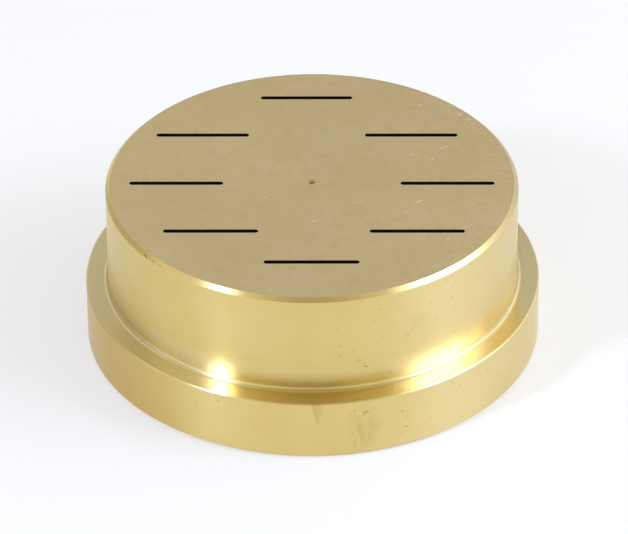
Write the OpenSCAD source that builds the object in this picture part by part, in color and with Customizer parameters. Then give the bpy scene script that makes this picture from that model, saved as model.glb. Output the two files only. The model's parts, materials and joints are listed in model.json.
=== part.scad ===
// Pasta extrusion die: a flanged brass puck that presses dough into flat ribbons.
// It stands on its back face with its axis on Z, and its slits run along X.
// Dough enters the round chamber in the back, fills a pocket under each slit and leaves through the face.

/* [Flange] */
// Diameter of the flange that the ring nut clamps
flange_d = 78; // [76:0.5:90]
// Height of the flange
flange_h = 11; // [8:0.5:16]
// Leg of the chamfer on the flange's upper edge
flange_chamfer = 0.2; // [0.1:0.05:1]
// Leg of the chamfer around the back face
back_chamfer = 0.5; // [0.1:0.05:1]

/* [Boss] */
// Diameter of the boss that stands through the ring nut
boss_d = 70.4; // [68:0.2:74]
// Height of the boss above the flange
boss_h = 18.5; // [14:0.5:26]
// Leg of the chamfer around the face
face_chamfer = 0.7; // [0.2:0.05:1.5]
// Radius of the fillet between the boss and the flange
shoulder_fillet = 0.8; // [0.2:0.1:1.2]
// Diameter of the lathe's centre mark in the face
centre_mark_d = 1.2; // [0.6:0.1:3]
// Depth of the centre mark
centre_mark_depth = 0.35; // [0.1:0.05:1]

/* [Slits] */
// Length of a slit, which is the width of the ribbon
slit_l = 16; // [10:0.5:17]
// Width of a slit, which is the thickness of the ribbon
slit_w = 1; // [0.5:0.1:2]
// Depth of metal that a slit cuts through, above its pocket
slit_land = 4; // [2:0.5:6]
// Place along Y of the single slit on the far side
far_row = 26.7; // [25:0.1:27.5]
// Place along X of that slit's middle
far_shift = -1.2; // [-2:0.1:2]
// Place along Y of the pair of slits behind the middle
upper_row = 14.7; // [13:0.1:16]
// Place along X of that pair's middle
upper_shift = -1; // [-2:0.1:2]
// Distance between the middles of that pair's slits
upper_span = 36; // [34:0.1:37]
// Place along Y of the pair of slits at the middle
middle_row = -0.4; // [-2:0.1:2]
// Place along X of that pair's middle
middle_shift = 0; // [-1:0.1:1]
// Distance between the middles of that pair's slits
middle_span = 46.2; // [42:0.1:47]
// Place along Y of the pair of slits in front of the middle
lower_row = -15; // [-16:0.1:-13]
// Place along X of that pair's middle
lower_shift = 0.5; // [-2:0.1:2]
// Distance between the middles of that pair's slits
lower_span = 34.7; // [34:0.1:37]
// Place along Y of the single slit on the near side
near_row = -24.2; // [-27:0.1:-24]
// Place along X of that slit's middle
near_shift = 0.2; // [-2:0.1:2]

/* [Dough side] */
// Diameter of the dough chamber in the back
chamber_d = 66; // [65:0.5:70]
// Depth of the dough chamber
chamber_depth = 9; // [5:0.5:12]
// Radius of the fillet around the chamber's floor
chamber_fillet = 1; // [0.5:0.1:1.2]
// Leg of the chamfer around the chamber's mouth
chamber_chamfer = 0.5; // [0.1:0.05:1]
// Width of the pocket under each slit
pocket_w = 6; // [4:0.5:7]
// Length by which a pocket passes each end of its slit
pocket_margin = 0.5; // [0:0.1:1]

/* [Hidden] */
$fn = 96;

// Cutters pass the faces that they open by this much
cut_through = 1;

flange_r = flange_d / 2;
boss_r = boss_d / 2;
chamber_r = chamber_d / 2;
total_h = flange_h + boss_h;
pocket_l = slit_l + 2 * pocket_margin;
pocket_r = pocket_w / 2;
pocket_top = total_h - slit_land;
nose_z = pocket_top - pocket_r;

// Each row holds its place along Y, its middle along X and the distance between its slits.
// A row of one slit has a distance of 0.
slit_rows = [
    [far_row, far_shift, 0],
    [upper_row, upper_shift, upper_span],
    [middle_row, middle_shift, middle_span],
    [lower_row, lower_shift, lower_span],
    [near_row, near_shift, 0],
];
slit_centres = [
    for (row = slit_rows, side = row[2] > 0 ? [-1, 1] : [0])
        [row[1] + side * row[2] / 2, row[0]]
];

// Corner of a fillet of radius r that fills the angle between the +X and +Y sides of the origin
module fillet_corner(r) {
    difference() {
        square(r);
        translate([r, r]) circle(r);
    }
}

// Slot outline of overall length l and width w with round ends, along X
module obround(l, w) {
    square([l - w, w], center = true);
    for (side = [-1, 1]) translate([side * (l - w) / 2, 0]) circle(w / 2);
}

// Half section of the turned puck, without its chamber
module puck_section() {
    polygon([
        [0, 0],
        [flange_r - back_chamfer, 0],
        [flange_r, back_chamfer],
        [flange_r, flange_h - flange_chamfer],
        [flange_r - flange_chamfer, flange_h],
        [boss_r, flange_h],
        [boss_r, total_h - face_chamfer],
        [boss_r - face_chamfer, total_h],
        [0, total_h],
    ]);
    translate([boss_r, flange_h]) fillet_corner(shoulder_fillet);
}

// Half section of the dough chamber, with its chamfered mouth and the fillet around its floor
module chamber_section() {
    difference() {
        polygon([
            [0, -cut_through],
            [chamber_r + chamber_chamfer + cut_through, -cut_through],
            [chamber_r, chamber_chamfer],
            [chamber_r, chamber_depth],
            [0, chamber_depth],
        ]);
        translate([chamber_r, chamber_depth]) rotate(180) fillet_corner(chamber_fillet);
    }
}

// The puck as it leaves the lathe
module turned_blank() {
    rotate_extrude() difference() {
        puck_section();
        chamber_section();
    }
}

// Section across a pocket: straight walls from the chamber's floor up, and a round nose
module pocket_section() {
    foot_z = chamber_depth - cut_through;
    translate([-pocket_r, foot_z]) square([pocket_w, nose_z - foot_z]);
    intersection() {
        translate([0, nose_z]) circle(pocket_r);
        translate([-pocket_r, nose_z]) square([pocket_w, pocket_r]);
    }
}

// Round-nosed pocket, as a ball-nosed cutter mills it along X
module feed_pocket() {
    run = pocket_l - pocket_w;
    rotate([90, 0, 90]) linear_extrude(run, center = true) pocket_section();
    for (end = [0, 1]) rotate(180 * end) translate([run / 2, 0, 0]) rotate(-90) rotate_extrude(angle = 180)
        intersection() {
            pocket_section();
            square([pocket_r, total_h]);
        }
}

// Slit from the pocket's nose out through the face
module slit() {
    translate([0, 0, nose_z]) linear_extrude(total_h - nose_z + cut_through) obround(slit_l, slit_w);
}

// Shallow cone that the lathe's centre left in the face
module centre_mark() {
    mark_z = total_h - centre_mark_depth;
    translate([0, 0, mark_z]) cylinder(h = centre_mark_depth, d1 = 0, d2 = centre_mark_d);
}

module die_body() {
    color("#D9C27E") difference() {
        turned_blank();
        for (centre = slit_centres) translate(centre) {
            feed_pocket();
            slit();
        }
        centre_mark();
    }
}

die_body();
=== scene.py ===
import json
import math

import bpy
from mathutils import Matrix, Vector


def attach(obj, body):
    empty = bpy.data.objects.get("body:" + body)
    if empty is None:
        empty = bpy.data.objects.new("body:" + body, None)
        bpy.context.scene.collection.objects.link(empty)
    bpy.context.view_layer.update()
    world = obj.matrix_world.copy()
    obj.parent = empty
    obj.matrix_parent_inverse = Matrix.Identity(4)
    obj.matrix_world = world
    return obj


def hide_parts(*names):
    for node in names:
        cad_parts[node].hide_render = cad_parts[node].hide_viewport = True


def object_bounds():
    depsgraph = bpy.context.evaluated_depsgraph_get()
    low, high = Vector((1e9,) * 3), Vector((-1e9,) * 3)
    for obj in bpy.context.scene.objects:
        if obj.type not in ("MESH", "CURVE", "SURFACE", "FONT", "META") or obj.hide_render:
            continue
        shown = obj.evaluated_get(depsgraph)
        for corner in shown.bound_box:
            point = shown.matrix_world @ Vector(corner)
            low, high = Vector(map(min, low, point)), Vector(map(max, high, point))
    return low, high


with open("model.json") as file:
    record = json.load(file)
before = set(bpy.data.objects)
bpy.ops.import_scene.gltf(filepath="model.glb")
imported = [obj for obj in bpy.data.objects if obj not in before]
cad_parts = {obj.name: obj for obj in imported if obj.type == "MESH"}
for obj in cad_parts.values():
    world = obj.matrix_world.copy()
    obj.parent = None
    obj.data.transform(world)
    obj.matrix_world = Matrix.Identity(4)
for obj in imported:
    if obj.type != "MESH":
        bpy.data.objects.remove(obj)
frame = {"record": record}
cad_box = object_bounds()

# One millimetre in Blender's metres. Sizes below are in millimetres.
MM = 0.001

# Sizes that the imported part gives
mounts = {mount["name"]: mount for mount in frame["record"]["mounts"]}
openings = {opening["name"]: opening["box_m"] for opening in frame["record"]["physics"]["openings"]}


def straight_wall(mount_name):
    """Lower end, upper end and radius of the straight wall that a pin mount stands for."""
    mount = mounts[mount_name]
    middle = mount["pos_m"][2] / MM
    half = mount["dims"]["length_mm"] / 2
    return middle - half, middle + half, mount["dims"]["r_mm"]


boss_foot, boss_top, boss_r = straight_wall("boss")
rim_foot, rim_top, flange_r = straight_wall("flange_rim")
shoulder_z = mounts["shoulder"]["pos_m"][2] / MM
face_z = cad_box[1].z / MM
face_r = boss_r - (face_z - boss_top)
slit_centres = [
    ((low[0] + high[0]) / 2 / MM, (low[1] + high[1]) / 2 / MM)
    for name, (low, high) in openings.items()
    if name.endswith("_pocket")
]

# Sizes of the cuts, as the CAD solid has them
slit_l = 16.0
slit_w = 1.0
slit_land = 4.0
pocket_l = 17.0
pocket_w = 6.0
chamber_r = 33.0
chamber_depth = 9.0
chamber_fillet = 1.0
chamber_chamfer = 0.5
mark_r = 0.6
mark_depth = 0.35
# Cutters pass the faces that they open by this much
cut_through = 1.0
# The lathe tool and a light deburring leave each edge this round
edge_rounding = 0.08
# An arc turns by about this much from point to point, in degrees
arc_step = 11.25
# Distance from an arc to the point that keeps the flat beside it flat under smooth shading
flat_support = 0.06
# Points around the die, a pocket's nose, a slit's two ends together and a nick, and a nick's rings
turning_steps = 256
nose_steps = 48
slit_steps = 24
nick_steps = 16
nick_rings = 10
# Points that lie closer than this become one
seam_gap = 0.001
# Edges that turn by more than this stay sharp, in degrees
crease_angle = 25.0

# Knocks in the chamfer's upper and lower edges, as degrees from the front towards +X and depth
nick_r = 0.35
upper_nicks = [(-44.0, 0.06), (-11.0, 0.04), (2.0, 0.04), (7.2, 0.05), (14.0, 0.04), (72.5, 0.06),
               (81.0, 0.05), (96.0, 0.06), (118.0, 0.05), (171.0, 0.05), (-132.0, 0.06)]
lower_nicks = [(-51.8, 0.14), (-48.3, 0.06), (-45.6, 0.08)]

# Scratches that stand out on the face: middle along X and Y, length, width, lean in degrees and strength
face_scratches = [
    (22.5, 10.8, 2.2, 0.24, 36, 1.0),
    (18.1, -6.1, 1.7, 0.24, 38, 1.0),
    (0.6, -12.0, 1.2, 0.22, 40, 0.9),
    (25.8, -13.9, 4.7, 0.18, 35, 0.6),
    (8.2, -6.0, 3.4, 0.20, 30, 0.4),
    (23.0, -17.5, 0.7, 0.30, 30, 1.0),
    (17.1, 8.7, 0.6, 0.34, 20, 0.9),
    (20.6, 7.1, 0.7, 0.28, 25, 0.8),
    (16.1, -9.4, 0.5, 0.34, 0, 0.9),
    (18.6, 24.5, 0.8, 0.30, 25, 0.7),
    (25.5, 21.2, 0.7, 0.40, 20, 1.0),
    (27.0, 19.6, 0.9, 0.36, 30, 0.9),
    (-4.0, -9.9, 1.6, 0.20, 42, 0.5),
    (-2.6, -20.7, 1.3, 0.22, 38, 0.5),
    (-6.5, -32.4, 1.4, 0.24, 52, 0.7),
    (-27.4, 3.3, 1.4, 0.22, 40, 0.6),
    (-26.6, -20.4, 1.0, 0.26, 35, 0.7),
    (-7.9, -4.8, 0.5, 0.34, 0, 0.8),
]

# Dark pits that stand out on the walls: arc from the front and height, length, width, lean and strength
wall_pits = [
    (5.1, 19.9, 0.7, 0.45, 30, 0.5),
    (4.9, 18.0, 0.6, 0.40, 0, 0.45),
    (8.2, 16.6, 0.9, 0.45, -20, 0.55),
    (9.0, 15.9, 0.6, 0.35, 40, 0.6),
    (9.3, 15.2, 0.9, 0.40, -15, 1.0),
    (13.7, 12.8, 0.6, 0.40, 0, 0.5),
    (16.9, 19.7, 0.5, 0.50, 0, 0.4),
    (-15.8, 9.4, 0.6, 0.70, 60, 0.5),
    (-31.7, 28.9, 0.8, 0.60, 0, 1.0),
    (-29.6, 28.9, 0.5, 0.40, 0, 0.7),
    (-27.9, 28.9, 0.5, 0.40, 0, 0.8),
    (16.5, 4.0, 0.7, 0.50, 0, 0.6),
    (15.7, 7.4, 0.7, 0.60, 20, 0.4),
    (9.3, 8.6, 1.2, 0.80, 10, 0.6),
    (7.4, 9.2, 0.6, 0.50, 0, 0.5),
]


def add(tree, kind, feeds=None, **settings):
    """Adds a node. Settings are its properties. Feeds are its inputs by name or place: a value, an output,
    or a node, which gives its first output."""
    node = tree.nodes.new(kind)
    for name, value in settings.items():
        setattr(node, name, value)
    for key, value in (feeds or {}).items():
        socket = node.inputs[key] if isinstance(key, int) else next(
            one for one in node.inputs if one.name == key and one.enabled)
        if isinstance(value, bpy.types.Node):
            value = next(one for one in value.outputs if one.enabled)
        if isinstance(value, bpy.types.NodeSocket):
            tree.links.new(value, socket)
        else:
            socket.default_value = value
    return node


def linear(hex_colour):
    """An sRGB hex colour as linear red, green, blue and alpha."""
    parts = [int(hex_colour[place:place + 2], 16) / 255 for place in (1, 3, 5)]
    return [part / 12.92 if part <= 0.04045 else ((part + 0.055) / 1.055) ** 2.4 for part in parts] + [1.0]


# Patterns

def strongest(tree, *patterns):
    """The strongest of several patterns at each point."""
    top = patterns[0]
    for pattern in patterns[1:]:
        top = add(tree, "ShaderNodeMath", {0: top, 1: pattern}, operation="MAXIMUM")
    return top


def zone(tree, *limits, share=1.0):
    """A soft-edged part of the die. Each limit is a measure, where it starts to hold and where it fully
    holds, which may be the lower of the two. Share is the zone's strength."""
    inside = share
    for measure, start, full in limits:
        holds = add(tree, "ShaderNodeMapRange", {"Value": measure, "From Min": start, "From Max": full},
                    interpolation_type="SMOOTHSTEP")
        inside = add(tree, "ShaderNodeMath", {0: holds, 1: inside}, operation="MULTIPLY")
    return inside


def tinted(tree, base, *coats):
    """A colour under coats of other colours. Each coat is its cover, from 0 to 1, and its hex."""
    colour = linear(base)
    for cover, hex_colour in coats:
        colour = add(tree, "ShaderNodeMix", {"Factor": cover, "A": colour, "B": linear(hex_colour)},
                     data_type="RGBA")
    return colour


def die_places(tree):
    """Where a point lies on the die, in millimetres: its place, height, distance from the axis,
    direction from the axis, and its place on a wall as arc from the front and height."""
    metres = add(tree, "ShaderNodeTexCoord").outputs["Object"]
    at = add(tree, "ShaderNodeVectorMath", {0: metres, "Scale": 1 / MM}, operation="SCALE")
    parts = add(tree, "ShaderNodeSeparateXYZ", {"Vector": at}).outputs
    flat = add(tree, "ShaderNodeCombineXYZ", {"X": parts["X"], "Y": parts["Y"]})
    radius = add(tree, "ShaderNodeVectorMath", {0: flat}, operation="LENGTH").outputs["Value"]
    outward = add(tree, "ShaderNodeVectorMath", {0: flat}, operation="NORMALIZE").outputs["Vector"]
    to_front = add(tree, "ShaderNodeMath", {0: parts["Y"], 1: -1.0}, operation="MULTIPLY")
    angle = add(tree, "ShaderNodeMath", {0: parts["X"], 1: to_front}, operation="ARCTAN2")
    arc = add(tree, "ShaderNodeMath", {0: angle, 1: radius}, operation="MULTIPLY")
    wall = add(tree, "ShaderNodeCombineXYZ", {"X": arc, "Y": parts["Z"]})
    return {"at": at, "flat": flat, "x": parts["X"], "z": parts["Z"], "radius": radius,
            "outward": outward, "arc": arc, "wall": wall}


def clouds(tree, here, size, start, full, share=1.0):
    """Soft patches of about a given size, where their noise passes from start to full."""
    noise = add(tree, "ShaderNodeTexNoise", {"Vector": here["at"], "Scale": 1 / size, "Detail": 3.0})
    return zone(tree, (noise.outputs["Fac"], start, full), share=share)


def lathe_lay(tree, here, pitch, reach):
    """Noise that runs around the axis: pitch is the distance from line to line, reach a line's length.
    A lathe leaves its rings about 0.1 mm apart, and they are drawn coarser so that they show."""
    turned = add(tree, "ShaderNodeVectorMath", {0: here["outward"], "Scale": boss_r / reach},
                 operation="SCALE")
    up = add(tree, "ShaderNodeMath", {0: here["z"], 1: pitch}, operation="DIVIDE")
    lift = add(tree, "ShaderNodeCombineXYZ", {"Z": up})
    where = add(tree, "ShaderNodeVectorMath", {0: turned, 1: lift}, operation="ADD")
    across = add(tree, "ShaderNodeMath", {0: here["radius"], 1: pitch}, operation="DIVIDE")
    return add(tree, "ShaderNodeTexNoise",
               {"Vector": where, "W": across, "Scale": 1.0, "Detail": 2.0},
               noise_dimensions="4D").outputs["Fac"]


def stroke(tree, local, lean, length, width, strength):
    """A short straight mark around local's origin, soft at its edges. Lean is its angle from X."""
    level = add(tree, "ShaderNodeVectorRotate", {"Vector": local, "Angle": lean},
                rotation_type="Z_AXIS", invert=True)
    parts = add(tree, "ShaderNodeSeparateXYZ", {"Vector": level}).outputs
    along = add(tree, "ShaderNodeMath", {0: parts["X"]}, operation="ABSOLUTE")
    across = add(tree, "ShaderNodeMath", {0: parts["Y"]}, operation="ABSOLUTE")
    along_share = add(tree, "ShaderNodeMath", {0: along, 1: length}, operation="DIVIDE")
    across_share = add(tree, "ShaderNodeMath", {0: across, 1: width}, operation="DIVIDE")
    return zone(tree, (along_share, 0.5, 0.3), (across_share, 0.5, 0.2), share=strength)


def placed_marks(tree, plane, places):
    """Marks at chosen places on a plane, as the lists above give them."""
    marks = []
    for x, y, length, width, lean, strength in places:
        local = add(tree, "ShaderNodeVectorMath", {0: plane, 1: (x, y, 0)}, operation="SUBTRACT")
        marks.append(stroke(tree, local, math.radians(lean), length, width, strength))
    return strongest(tree, *marks)


def strewn_marks(tree, plane, cell, length, width, share, lean, spread):
    """Marks strewn over a plane, at most one in each cell. Share is the part of the cells that have
    one, lean the marks' mean angle in degrees and spread how far they turn from it."""
    cells = add(tree, "ShaderNodeTexVoronoi", {"Vector": plane, "Scale": 1 / cell},
                voronoi_dimensions="2D").outputs
    local = add(tree, "ShaderNodeVectorMath", {0: plane, 1: cells["Position"]}, operation="SUBTRACT")
    chance = add(tree, "ShaderNodeSeparateColor", {"Color": cells["Color"]}).outputs
    angle = add(tree, "ShaderNodeMapRange",
                {"Value": chance["Red"], "To Min": math.radians(lean - spread),
                 "To Max": math.radians(lean + spread)})
    reach = add(tree, "ShaderNodeMapRange",
                {"Value": chance["Green"], "To Min": length * 0.3, "To Max": length})
    kept = add(tree, "ShaderNodeMath", {0: chance["Blue"], 1: share}, operation="LESS_THAN")
    return stroke(tree, local, angle, reach, width, kept)


def specks(tree, here, *limits, cell, size, share, strength):
    """Round specks strewn through space, so that they meet no seam. Limits bound them as they bound a
    zone, and share is the part of cells with one. They are drawn larger than life, so that they show."""
    cells = add(tree, "ShaderNodeTexVoronoi", {"Vector": here["at"], "Scale": 1 / cell}).outputs
    chance = add(tree, "ShaderNodeSeparateColor", {"Color": cells["Color"]}).outputs["Red"]
    kept = add(tree, "ShaderNodeMath", {0: chance, 1: share}, operation="LESS_THAN")
    shown = add(tree, "ShaderNodeMath", {0: kept, 1: strength}, operation="MULTIPLY")
    return zone(tree, (cells["Distance"], size / 2 / cell, size / 5 / cell), *limits, share=shown)


def drip(tree, here, top_z, tip_z, left, right, tip, strength):
    """A stain that ran down a wall from an edge: full width from left to right there, and pointed below.
    Left, right and tip are arcs from the front."""
    fall = add(tree, "ShaderNodeMapRange", {"Value": here["z"], "From Min": tip_z, "From Max": top_z})
    near = add(tree, "ShaderNodeMapRange", {"Value": fall, "To Min": tip, "To Max": left})
    far = add(tree, "ShaderNodeMapRange", {"Value": fall, "To Min": tip, "To Max": right})
    span = add(tree, "ShaderNodeMath", {0: far, 1: near}, operation="SUBTRACT")
    inward = add(tree, "ShaderNodeMath", {0: here["arc"], 1: near}, operation="SUBTRACT")
    across = add(tree, "ShaderNodeMath", {0: inward, 1: span}, operation="DIVIDE")
    on_rim = (here["radius"], flange_r - 0.5, flange_r - 0.1)
    # Darkest along its left border, where it dried last
    return zone(tree, on_rim, (across, -0.06, 0.08), (across, 1.1, 0.1), (fall, 0.0, 0.3), share=strength)


def streaks(tree, here, arc, z, half_arc, half_z, strength):
    """Grime that was wiped down a wall: upright streaks inside a soft oval."""
    streak_w = 1.4
    streak_l = 3.4
    local = add(tree, "ShaderNodeVectorMath", {0: here["wall"], 1: (arc, z, 0)}, operation="SUBTRACT")
    oval = add(tree, "ShaderNodeVectorMath", {0: local, 1: (half_arc, half_z, 1)}, operation="DIVIDE")
    away = add(tree, "ShaderNodeVectorMath", {0: oval}, operation="LENGTH").outputs["Value"]
    drawn = add(tree, "ShaderNodeVectorMath", {0: here["wall"], 1: (streak_w, streak_l, 1)},
                operation="DIVIDE")
    lines = add(tree, "ShaderNodeTexNoise", {"Vector": drawn, "Scale": 1.0, "Detail": 3.0},
                noise_dimensions="2D").outputs["Fac"]
    return zone(tree, (away, 1.0, 0.2), (lines, 0.2, 0.8), share=strength)


# Materials

def start_material(name):
    """A material with an empty tree."""
    material = bpy.data.materials.new(name)
    material.use_nodes = True
    material.node_tree.nodes.clear()
    return material, material.node_tree


def metal(tree, colour, roughness, anisotropy=0.0, normal=None):
    """The shader of a bare metal, and the tree's output. A lathe's rings draw highlights out across them."""
    feeds = {"Base Color": colour, "Metallic": 1.0, "Roughness": roughness, "Anisotropic": anisotropy,
             "Anisotropic Rotation": 0.25}
    if normal is not None:
        feeds["Normal"] = normal
    shader = add(tree, "ShaderNodeBsdfPrincipled", feeds)
    add(tree, "ShaderNodeOutputMaterial", {"Surface": shader})


def turned_brass():
    """Walls, chamfers and shoulder: brass turned on a lathe and wiped to a satin gloss.
    Fine rings stretch its highlights upright. Handling has left dark pits, a drip and wiped grime, and its
    colour also holds painted highlights, a painted reflection and painted shade."""
    material, tree = start_material("turned_brass")
    here = die_places(tree)
    lay = lathe_lay(tree, here, pitch=0.35, reach=14.0)
    x = here["x"]
    aside = add(tree, "ShaderNodeMath", {0: x}, operation="ABSOLUTE")
    over = add(tree, "ShaderNodeMath", {0: here["z"], 1: shoulder_z}, operation="SUBTRACT")
    from_shoulder = (over, -0.15, 0.0)
    past_foot = (here["radius"], boss_r + 0.7, boss_r + 1.1)
    on_chamfer = (here["z"], boss_top - 0.1, boss_top + 0.1)
    # Pits gather on the right-hand side
    many_pits = specks(tree, here, (x, -12.0, 16.0), cell=1.6, size=0.6, share=0.75, strength=0.42)
    few_pits = specks(tree, here, cell=4.0, size=0.7, share=0.8, strength=0.26)
    pits = strongest(tree, placed_marks(tree, here["wall"], wall_pits), many_pits, few_pits)
    soil = add(tree, "ShaderNodeMath", {0: pits, 1: 0.55}, operation="MULTIPLY")
    grime = strongest(
        tree,
        drip(tree, here, rim_top, tip_z=6.0, left=0.1, right=2.9, tip=1.3, strength=0.24),
        streaks(tree, here, arc=9.2, z=5.6, half_arc=3.4, half_z=6.2, strength=0.24),
        streaks(tree, here, arc=19.0, z=19.0, half_arc=4.5, half_z=6.0, strength=0.12),
    )
    colour = tinted(
        tree, "#E0CA83",
        (clouds(tree, here, 9.0, 0.35, 0.75), "#DDC57B"),
        # Painted light: paler on the right, where the right softbox lights the walls
        (zone(tree, (x, 6.0, 26.0)), "#E4D094"),
        # Painted highlights: paler brass in a band up the boss and at the boss's foot on both sides, where
        # the lamps' reflections fall, so that they show about white
        (zone(tree, (over, 2.0, 2.8), (over, 5.5, 3.6), share=0.5), "#E7D596"),
        (zone(tree, (over, 4.4, 2.2), from_shoulder, (aside, 11.0, 17.0), share=0.85), "#E4D5A4"),
        # On the far right a painted reflection: the shoulder is painted a deeper gold beside the highlight
        (zone(tree, past_foot, from_shoulder, (x, 27.0, 32.0), (x, 36.6, 34.6), share=0.8), "#DCBD70"),
        # Painted shade dims the right end of the chamfer's highlight
        (zone(tree, on_chamfer, (x, 28.0, 33.0), share=0.7), "#CBB88C"),
        # Painted shade: the boss's foot is darker in front, and a dark line is painted along the corner
        # under it
        (zone(tree, (over, 2.0, 1.4), (over, 0.5, 0.9), (x, -15.0, -9.0), (x, 9.0, 3.0), share=0.3),
         "#BFA568"),
        (zone(tree, (over, 0.10, 0.18), (over, 0.42, 0.32), share=0.32), "#8A6E38"),
        # Painted shade: the flange is darker and yellower on its left-hand side, where it reflects the
        # shadowed floor
        (zone(tree, (x, -16.0, -34.0), (over, 0.0, -0.4)), "#D3B56D"),
        (soil, "#7D6431"),
        (grime, "#8A6E38"),
    )
    roughness = add(tree, "ShaderNodeMapRange", {"Value": lay, "To Min": 0.265, "To Max": 0.295})
    metal(tree, colour, roughness, anisotropy=0.9)
    return material


def faced_brass():
    """The face: brass faced off on a lathe and rubbed matt, then scratched by scraping dough off it.
    It is an even grey gold, with bright scratches, painted pale as painted glints where their walls catch a
    lamp."""
    material, tree = start_material("faced_brass")
    here = die_places(tree)
    lay = lathe_lay(tree, here, pitch=0.4, reach=20.0)
    # Scratches and dots are strewn all over and thicken to the right, where the rim has been knocked. All
    # are painted pale, as painted glints.
    # Each kind has its cell, length, width, share of cells, lean, spread, and where it shows
    to_right = (here["x"], -30.0, 15.0)
    kinds = (
        (2.4, 1.0, 0.16, 0.5, 36, 20, zone(tree, to_right, share=0.35)),
        (3.1, 0.45, 0.26, 0.45, 20, 60, zone(tree, to_right, share=0.45)),
        (1.1, 1.0, 0.24, 0.6, 34, 20,
         zone(tree, (here["radius"], 28.5, 33.5), (here["x"], 6.0, 28.0), share=0.4)),
    )
    marks = [placed_marks(tree, here["flat"], face_scratches)]
    for cell, length, width, share, lean, spread, where in kinds:
        strewn = strewn_marks(tree, here["flat"], cell, length, width, share, lean, spread)
        marks.append(add(tree, "ShaderNodeMath", {0: strewn, 1: where}, operation="MULTIPLY"))
    scratches_and_glints = strongest(tree, *marks)
    pits = specks(tree, here, cell=3.6, size=0.5, share=0.8, strength=0.25)
    # Darker in and around the lathe's centre mark, with a ragged edge
    ragged = add(tree, "ShaderNodeTexNoise", {"Vector": here["at"], "Scale": 1 / 0.5, "Detail": 2.0})
    reach = add(tree, "ShaderNodeMath", {0: here["radius"], 1: ragged.outputs["Fac"]}, operation="ADD")
    colour = tinted(
        tree, "#E3CC9A",
        (clouds(tree, here, 12.0, 0.35, 0.7), "#E0C892"),
        (clouds(tree, here, 1.6, 0.45, 0.75, share=0.5), "#D9C18D"),
        # Painted glints: the scratches are painted near white where their walls would catch a lamp
        (scratches_and_glints, "#FBF2D6"),
        (pits, "#8C7440"),
        (zone(tree, (reach, 1.4, 0.7)), "#8A6C3A"),
    )
    roughness = add(tree, "ShaderNodeMapRange", {"Value": lay, "To Min": 0.34, "To Max": 0.42})
    dent = add(tree, "ShaderNodeBump", {"Height": scratches_and_glints, "Distance": 0.02 * MM}, invert=True)
    metal(tree, colour, roughness, anisotropy=0.2, normal=dent)
    return material


def bored_brass():
    """The dough chamber and the pockets: brass bored and milled, duller than the outside."""
    material, tree = start_material("bored_brass")
    here = die_places(tree)
    lay = lathe_lay(tree, here, pitch=0.5, reach=10.0)
    colour = tinted(tree, "#C9AE6C", (lay, "#B89A58"))
    roughness = add(tree, "ShaderNodeMapRange", {"Value": lay, "To Min": 0.32, "To Max": 0.45})
    metal(tree, colour, roughness)
    return material


def spark_skin_and_shade_brass():
    """The slits' walls: brass cut by spark erosion, which leaves a thin dark skin, and painted near black as
    painted shade, so that the slits read as dark lines.
    Its craters are finer than a tenth of a millimetre, and are drawn at 0.3 mm."""
    material, tree = start_material("spark_skin_and_shade_brass")
    here = die_places(tree)
    grit = add(tree, "ShaderNodeTexNoise", {"Vector": here["at"], "Scale": 1 / 0.3, "Detail": 2.0})
    # Near black: partly the dark spark-eroded skin, partly painted shade in the narrow slits
    colour = tinted(tree, "#050403", (grit.outputs["Fac"], "#0C0805"))
    shader = add(tree, "ShaderNodeBsdfPrincipled",
                 {"Base Color": colour, "Roughness": 0.9, "Specular IOR Level": 0.1})
    add(tree, "ShaderNodeOutputMaterial", {"Surface": shader})
    return material


def white_paper():
    """The floor: matt white paper. The camera and the brass see part of it as plain white, so that the
    shadow on it is faint."""
    plain_share = 0.45
    material, tree = start_material("white_paper")
    rays = add(tree, "ShaderNodeLightPath").outputs
    seen = strongest(tree, rays["Is Camera Ray"], rays["Is Glossy Ray"], rays["Is Transmission Ray"])
    plain = add(tree, "ShaderNodeMath", {0: seen, 1: plain_share}, operation="MULTIPLY")
    paper = add(tree, "ShaderNodeBsdfDiffuse", {"Color": linear("#E2DED6")})
    white = add(tree, "ShaderNodeEmission", {"Color": linear("#FFFFFF"), "Strength": 1.0})
    mixed = add(tree, "ShaderNodeMixShader", {0: plain, 1: paper, 2: white})
    add(tree, "ShaderNodeOutputMaterial", {"Surface": mixed})
    return material


# Shapes

def around(azimuth, radius, z):
    """A point at an angle from the front, -Y, towards +X, in degrees."""
    turn = math.radians(azimuth)
    return Vector((radius * math.sin(turn), -radius * math.cos(turn), z))


def rounded_section(corners):
    """A section's points. Each corner is its radius, its height and its rounding, which becomes an arc."""
    points = [Vector(corners[0][:2])]
    for before, corner, after in zip(corners, corners[1:], corners[2:]):
        spot = Vector(corner[:2])
        back = (Vector(before[:2]) - spot).normalized()
        ahead = (Vector(after[:2]) - spot).normalized()
        opening = back.angle(ahead)
        turn = math.pi - opening
        reach = corner[2] / math.tan(opening / 2)
        centre = spot + (back + ahead).normalized() * corner[2] / math.sin(opening / 2)
        first = spot + back * reach - centre
        last = spot + ahead * reach - centre
        steps = math.ceil(math.degrees(turn) / arc_step)
        points.append(spot + back * (reach + flat_support))
        for step in range(steps + 1):
            share = step / steps
            swing = first * math.sin((1 - share) * turn) + last * math.sin(share * turn)
            points.append(centre + swing / math.sin(turn))
        points.append(spot + ahead * (reach + flat_support))
    points.append(Vector(corners[-1][:2]))
    return points


def wire_object(name, points, edges=()):
    """An object of bare points and edges, for a tree to read."""
    mesh = bpy.data.meshes.new(name)
    mesh.from_pydata(points, edges, [])
    made = bpy.data.objects.new(name, mesh)
    bpy.context.scene.collection.objects.link(made)
    return made


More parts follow.
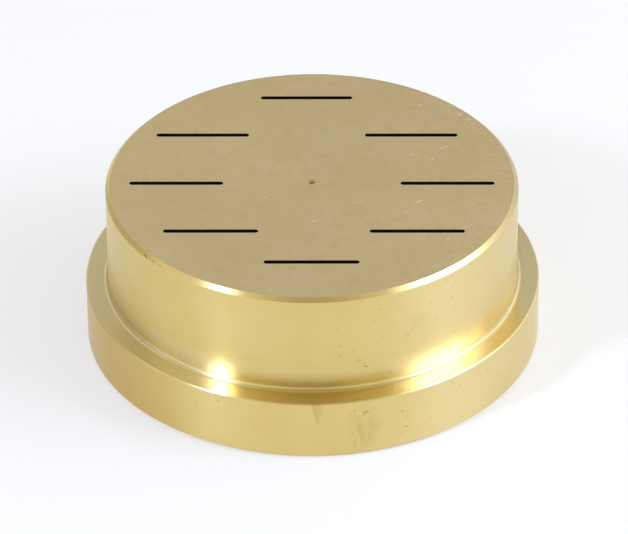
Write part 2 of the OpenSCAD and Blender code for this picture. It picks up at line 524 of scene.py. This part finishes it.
def die_section():
    """Half section of the turned die, from the centre mark over the outside to the chamber's floor."""
    corners = [
        (0, face_z - mark_depth, 0),
        (mark_r, face_z, edge_rounding),
        (face_r, face_z, edge_rounding),
        (boss_r, boss_top, edge_rounding),
        (boss_r, shoulder_z, boss_foot - shoulder_z),
        (flange_r - (shoulder_z - rim_top), shoulder_z, edge_rounding),
        (flange_r, rim_top, edge_rounding),
        (flange_r, rim_foot, edge_rounding),
        (flange_r - rim_foot, 0, edge_rounding),
        (chamber_r + chamber_chamfer, 0, edge_rounding),
        (chamber_r, chamber_chamfer, edge_rounding),
        (chamber_r, chamber_depth, chamber_fillet),
        (0, chamber_depth, 0),
    ]
    points = rounded_section(corners)
    # Curve to Mesh measures a section from its path, a circle of the boss's radius, with Y downwards
    places = [(point.x - boss_r, -point.y, 0) for point in points]
    return wire_object("die_section", places, [(place, place + 1) for place in range(len(places) - 1)])


def nick_places():
    """Middles of the balls that bite the nicks out of the chamfer's edges."""
    places = []
    # Each edge has its radius, its height and the slope halfway between its two sides, in degrees
    edges = ((upper_nicks, face_r, face_z, 67.5), (lower_nicks, boss_r, boss_top, 22.5))
    for nicks, edge_r, edge_z, slope in edges:
        tilt = math.radians(slope)
        for azimuth, depth in nicks:
            reach = nick_r - depth
            out, up = reach * math.cos(tilt), reach * math.sin(tilt)
            places.append(around(azimuth, edge_r + out, edge_z + up))
    return wire_object("nick_places", places)


def stretched(tree, mesh, half_run, drop):
    """Moves a mesh's two halves apart along X, and lowers what is under its middle."""
    parts = add(tree, "ShaderNodeSeparateXYZ", {"Vector": add(tree, "GeometryNodeInputPosition")}).outputs
    side = add(tree, "ShaderNodeMath", {0: parts["X"]}, operation="SIGN")
    under = add(tree, "ShaderNodeMath", {0: parts["Z"], 1: 0.0}, operation="LESS_THAN")
    apart = add(tree, "ShaderNodeMath", {0: side, 1: half_run}, operation="MULTIPLY")
    fall = add(tree, "ShaderNodeMath", {0: under, 1: drop}, operation="MULTIPLY")
    lower = add(tree, "ShaderNodeMath", {0: 0.0, 1: fall}, operation="SUBTRACT")
    offset = add(tree, "ShaderNodeCombineXYZ", {"X": apart, "Z": lower})
    return add(tree, "GeometryNodeSetPosition", {"Geometry": mesh, "Offset": offset})


def die_tree(finishes):
    """The tree that turns the section, mills the pockets, cuts the slits and bites the nicks."""
    tree = bpy.data.node_groups.new("ribbon_die", "GeometryNodeTree")
    for name in ("Section", "Slit Centres", "Nick Places"):
        tree.interface.new_socket(name, in_out="INPUT", socket_type="NodeSocketObject")
    tree.interface.new_socket("Turning Steps", in_out="INPUT", socket_type="NodeSocketInt")
    for name in ("Boss Radius", "Face Radius", "Face Height", "Chamber Depth", "Chamber Mouth Radius",
                 "Slit Length", "Slit Width", "Slit Land", "Pocket Length", "Pocket Width", "Nick Radius"):
        tree.interface.new_socket(name, in_out="INPUT", socket_type="NodeSocketFloat")
    tree.interface.new_socket("Geometry", in_out="OUTPUT", socket_type="NodeSocketGeometry")
    given = add(tree, "NodeGroupInput").outputs

    # Where a face of the mesh lies
    parts = add(tree, "ShaderNodeSeparateXYZ", {"Vector": add(tree, "GeometryNodeInputPosition")}).outputs
    flat = add(tree, "ShaderNodeCombineXYZ", {"X": parts["X"], "Y": parts["Y"]})
    radius = add(tree, "ShaderNodeVectorMath", {0: flat}, operation="LENGTH").outputs["Value"]
    above = add(tree, "FunctionNodeCompare", {"A": parts["Z"], "B": given["Chamber Depth"]},
                operation="GREATER_THAN")

    # The turned blank, with the chamber's own finish
    section = add(tree, "GeometryNodeObjectInfo", {"Object": given["Section"]}).outputs["Geometry"]
    outline = add(tree, "GeometryNodeMeshToCurve", {"Mesh": section})
    path = add(tree, "GeometryNodeCurvePrimitiveCircle",
               {"Resolution": given["Turning Steps"], "Radius": given["Boss Radius"]})
    upright = add(tree, "GeometryNodeSetCurveNormal", {"Curve": path}, mode="Z_UP")
    turned = add(tree, "GeometryNodeCurveToMesh", {"Curve": upright, "Profile Curve": outline})
    body = add(tree, "GeometryNodeMergeByDistance", {"Geometry": turned, "Distance": seam_gap})
    body = add(tree, "GeometryNodeSetMaterial", {"Geometry": body, "Material": finishes["turned"]})
    in_mouth = add(tree, "FunctionNodeCompare", {"A": radius, "B": given["Chamber Mouth Radius"]},
                   operation="LESS_EQUAL")
    in_chamber = add(tree, "FunctionNodeBooleanMath", {0: in_mouth, 1: above}, operation="NIMPLY")
    body = add(tree, "GeometryNodeSetMaterial",
               {"Geometry": body, "Selection": in_chamber, "Material": finishes["bored"]})

    # A ball-nosed cutter: a sphere with its poles along X, drawn out along the slit and downwards
    nose_r = add(tree, "ShaderNodeMath", {0: given["Pocket Width"], 1: 2.0}, operation="DIVIDE")
    pocket_top = add(tree, "ShaderNodeMath", {0: given["Face Height"], 1: given["Slit Land"]},
                     operation="SUBTRACT")
    nose_z = add(tree, "ShaderNodeMath", {0: pocket_top, 1: nose_r}, operation="SUBTRACT")
    drop = add(tree, "ShaderNodeMath", {0: nose_z, 1: given["Chamber Depth"]}, operation="SUBTRACT")
    ball = add(tree, "GeometryNodeMeshUVSphere",
               {"Segments": nose_steps, "Rings": nose_steps // 2, "Radius": nose_r})
    lying = add(tree, "GeometryNodeTransform", {"Geometry": ball, "Rotation": (0, math.pi / 2, 0)})
    run = add(tree, "ShaderNodeMath", {0: given["Pocket Length"], 1: given["Pocket Width"]},
              operation="SUBTRACT")
    half_run = add(tree, "ShaderNodeMath", {0: run, 1: 0.5}, operation="MULTIPLY")
    cutter = stretched(tree, lying, half_run, drop)
    nose_place = add(tree, "ShaderNodeCombineXYZ", {"Z": nose_z})
    cutter = add(tree, "GeometryNodeTransform", {"Geometry": cutter, "Translation": nose_place})
    cutter = add(tree, "GeometryNodeSetMaterial", {"Geometry": cutter, "Material": finishes["bored"]})

    # A slit: a thin cylinder drawn out along X, from the pocket's nose out through the face
    slit_top = add(tree, "ShaderNodeMath", {0: given["Face Height"], 1: cut_through}, operation="ADD")
    slit_h = add(tree, "ShaderNodeMath", {0: slit_top, 1: nose_z}, operation="SUBTRACT")
    slit_r = add(tree, "ShaderNodeMath", {0: given["Slit Width"], 1: 0.5}, operation="MULTIPLY")
    thin = add(tree, "GeometryNodeMeshCylinder",
               {"Vertices": slit_steps, "Radius": slit_r, "Depth": slit_h})
    slit_run = add(tree, "ShaderNodeMath", {0: given["Slit Length"], 1: given["Slit Width"]},
                   operation="SUBTRACT")
    half_slit_run = add(tree, "ShaderNodeMath", {0: slit_run, 1: 0.5}, operation="MULTIPLY")
    blade = stretched(tree, thin, half_slit_run, 0.0)
    both_ends = add(tree, "ShaderNodeMath", {0: slit_top, 1: nose_z}, operation="ADD")
    blade_z = add(tree, "ShaderNodeMath", {0: both_ends, 1: 0.5}, operation="MULTIPLY")
    blade_place = add(tree, "ShaderNodeCombineXYZ", {"Z": blade_z})
    blade = add(tree, "GeometryNodeTransform", {"Geometry": blade, "Translation": blade_place})

    # A knock: a small ball
    knock = add(tree, "GeometryNodeMeshUVSphere",
                {"Segments": nick_steps, "Rings": nick_rings, "Radius": given["Nick Radius"]})
    knock = add(tree, "GeometryNodeSetMaterial", {"Geometry": knock, "Material": finishes["turned"]})

    # Each cutter at each of its places
    for places, tool in (("Slit Centres", cutter), ("Slit Centres", blade), ("Nick Places", knock)):
        points = add(tree, "GeometryNodeObjectInfo", {"Object": given[places]}).outputs["Geometry"]
        copies = add(tree, "GeometryNodeInstanceOnPoints", {"Points": points, "Instance": tool})
        cuts = add(tree, "GeometryNodeRealizeInstances", {"Geometry": copies})
        body = add(tree, "GeometryNodeMeshBoolean", {"Mesh 1": body, "Mesh 2": cuts},
                   operation="DIFFERENCE", solver="MANIFOLD")

    # Smooth all over, apart from the cuts' edges
    body = add(tree, "GeometryNodeSetShadeSmooth", {"Geometry": body, "Shade Smooth": True})
    angle = add(tree, "GeometryNodeInputMeshEdgeAngle").outputs["Unsigned Angle"]
    crease = add(tree, "FunctionNodeCompare", {"A": angle, "B": math.radians(crease_angle)},
                 operation="GREATER_THAN")
    body = add(tree, "GeometryNodeSetShadeSmooth",
               {"Geometry": body, "Selection": crease, "Shade Smooth": False}, domain="EDGE")

    # Above the pockets, what looks up inside the face's edge is the face. The rest is the slits' walls
    normal = add(tree, "ShaderNodeSeparateXYZ", {"Vector": add(tree, "GeometryNodeInputNormal")}).outputs
    upward = add(tree, "FunctionNodeCompare", {"A": normal["Z"], "B": 0.5}, operation="GREATER_THAN")
    in_face = add(tree, "FunctionNodeCompare", {"A": radius, "B": given["Face Radius"]},
                  operation="LESS_THAN")
    over = add(tree, "FunctionNodeCompare", {"A": parts["Z"], "B": pocket_top}, operation="GREATER_THAN")
    in_slit = add(tree, "FunctionNodeBooleanMath", {0: over, 1: in_mouth}, operation="AND")
    inside = add(tree, "FunctionNodeBooleanMath", {0: over, 1: in_face}, operation="AND")
    on_face = add(tree, "FunctionNodeBooleanMath", {0: inside, 1: upward}, operation="AND")
    body = add(tree, "GeometryNodeRealizeInstances", {"Geometry": body})
    body = add(tree, "GeometryNodeSetMaterial",
               {"Geometry": body, "Selection": in_slit, "Material": finishes["spark_skin_and_shade"]})
    body = add(tree, "GeometryNodeSetMaterial",
               {"Geometry": body, "Selection": on_face, "Material": finishes["faced"]})
    add(tree, "NodeGroupOutput", {"Geometry": body})
    return tree


def make_die():
    """The dressed die as one plain mesh."""
    finishes = {"turned": turned_brass(), "faced": faced_brass(), "bored": bored_brass(),
                "spark_skin_and_shade": spark_skin_and_shade_brass()}
    helpers = {
        "Section": die_section(),
        "Slit Centres": wire_object("slit_centres", [(x, y, 0) for x, y in slit_centres]),
        "Nick Places": nick_places(),
    }
    sizes = {
        "Turning Steps": turning_steps,
        "Boss Radius": boss_r,
        "Face Radius": face_r,
        "Face Height": face_z,
        "Chamber Depth": chamber_depth,
        "Chamber Mouth Radius": chamber_r + chamber_chamfer,
        "Slit Length": slit_l,
        "Slit Width": slit_w,
        "Slit Land": slit_land,
        "Pocket Length": pocket_l,
        "Pocket Width": pocket_w,
        "Nick Radius": nick_r,
    }
    inputs = {**helpers, **sizes}
    tree = die_tree(finishes)
    carrier = wire_object("carrier", [])
    modifier = carrier.modifiers.new("ribbon_die", "NODES")
    modifier.node_group = tree
    for socket in tree.interface.items_tree:
        if socket.in_out == "INPUT":
            modifier[socket.identifier] = inputs[socket.name]
    shaped = carrier.evaluated_get(bpy.context.evaluated_depsgraph_get())
    mesh = bpy.data.meshes.new_from_object(shaped)
    mesh.transform(Matrix.Scale(MM, 4))
    mesh.name = "brass_die"
    die = bpy.data.objects.new("brass_die", mesh)
    bpy.context.scene.collection.objects.link(die)
    for helper in (carrier, *helpers.values()):
        bpy.data.objects.remove(helper)
    return die


die = make_die()
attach(die, "root")
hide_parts("die_body")

# Floor, with its half width in metres
floor_half = 3.0
floor_drop = 0.05 * MM
floor_corners = [(-1, -1), (1, -1), (1, 1), (-1, 1)]
floor_mesh = bpy.data.meshes.new("floor")
floor_mesh.from_pydata([(x * floor_half, y * floor_half, -floor_drop) for x, y in floor_corners], [],
                       [(0, 1, 2, 3)])
floor_mesh.materials.append(white_paper())
floor = bpy.data.objects.new("floor", floor_mesh)
bpy.context.scene.collection.objects.link(floor)


def direction(azimuth, elevation):
    """Unit vector away from the die. Azimuth turns from the front, -Y, towards +X, both in degrees."""
    tilt = math.radians(elevation)
    return around(azimuth, math.cos(tilt), math.sin(tilt))


def soft_lamp(name, azimuth, elevation, distance, width, height, radiance, colour="#F4F7FF"):
    """A panel of daylight that faces the die. Sizes are in metres."""
    data = bpy.data.lights.new(name, "AREA")
    data.shape = "RECTANGLE"
    data.size, data.size_y = width, height
    data.energy = radiance * math.pi * width * height
    data.color = linear(colour)[:3]
    lamp = bpy.data.objects.new(name, data)
    out = direction(azimuth, elevation)
    lamp.location = out * distance
    lamp.rotation_euler = out.to_track_quat("Z", "Y").to_euler()
    bpy.context.scene.collection.objects.link(lamp)


# A wide and a small softbox, each with a bright tube inside, and a lit wall behind on the right.
# The tubes are cool, so that yellow brass shows them about white
soft_lamp("right_panel", azimuth=79, elevation=37, distance=0.9, width=0.74, height=0.40, radiance=3.0)
soft_lamp("right_tube", azimuth=74, elevation=35, distance=0.85, width=0.40, height=0.07, radiance=40.0,
          colour="#B2CAFF")
soft_lamp("right_wall", azimuth=122, elevation=32, distance=0.95, width=0.80, height=0.50, radiance=0.5)
soft_lamp("left_panel", azimuth=-57, elevation=41, distance=0.9, width=0.18, height=0.28, radiance=1.3)
soft_lamp("left_tube", azimuth=-51, elevation=36, distance=0.85, width=0.07, height=0.12, radiance=165.0,
          colour="#B2CAFF")


def make_room():
    """The room around the die: pale low down and at the sides, grey behind, dim in front and overhead."""
    world = bpy.data.worlds.new("grey_room")
    world.use_nodes = True
    sky = world.node_tree
    sky.nodes.clear()
    looking = add(sky, "ShaderNodeTexCoord").outputs["Generated"]
    towards = add(sky, "ShaderNodeSeparateXYZ", {"Vector": looking}).outputs
    aside = add(sky, "ShaderNodeMath", {0: towards["X"]}, operation="ABSOLUTE")
    coats = [
        (zone(sky, (towards["Y"], -0.6, 0.6)), "#C0C1C3"),
        (zone(sky, (aside, 0.05, 0.45)), "#FFFFFF"),
        (zone(sky, (towards["Z"], 0.6, 0.9)), "#D4D2CC"),
        (zone(sky, (towards["Z"], 0.35, 0.02)), "#F4F4F4"),
    ]
    # A dim patch high up in front, and a dim corner low down behind on the left. Each has its azimuth,
    # its elevation, the cosines of the angles to its edge and its core, and its colour
    dim_patches = ((0, 54, 0.93, 0.99, "#C2BAAA"), (-122, 14, 0.80, 0.96, "#C4C4C2"))
    for azimuth, elevation, edge, core, dim in dim_patches:
        near = add(sky, "ShaderNodeVectorMath", {0: looking, 1: tuple(direction(azimuth, elevation))},
                   operation="DOT_PRODUCT").outputs["Value"]
        coats.append((zone(sky, (near, edge, core)), dim))
    room = tinted(sky, "#CCC8BE", *coats)
    glow = add(sky, "ShaderNodeBackground", {"Color": room, "Strength": 1.0})
    add(sky, "ShaderNodeOutputWorld", {"Surface": glow})
    return world


bpy.context.scene.world = make_room()

# Camera, as fitted to the photograph's outline
view_azimuth, view_elevation, view_roll = 0.81, 34.35, 0.445
view_distance = 860.7
view_aim = (0.25, 0.0, 11.95)
camera_data = bpy.data.cameras.new("camera")
camera_data.sensor_width = 36.0
camera_data.lens = 286.4
camera = bpy.data.objects.new("camera", camera_data)
view_out = direction(view_azimuth, view_elevation)
place = Matrix.Translation((Vector(view_aim) + view_out * view_distance) * MM)
level = view_out.to_track_quat("Z", "Y").to_matrix().to_4x4()
camera.matrix_world = place @ level @ Matrix.Rotation(math.radians(-view_roll), 4, "Z")
bpy.context.scene.collection.objects.link(camera)
bpy.context.scene.camera = camera
bpy.context.scene.view_settings.view_transform = "Standard"
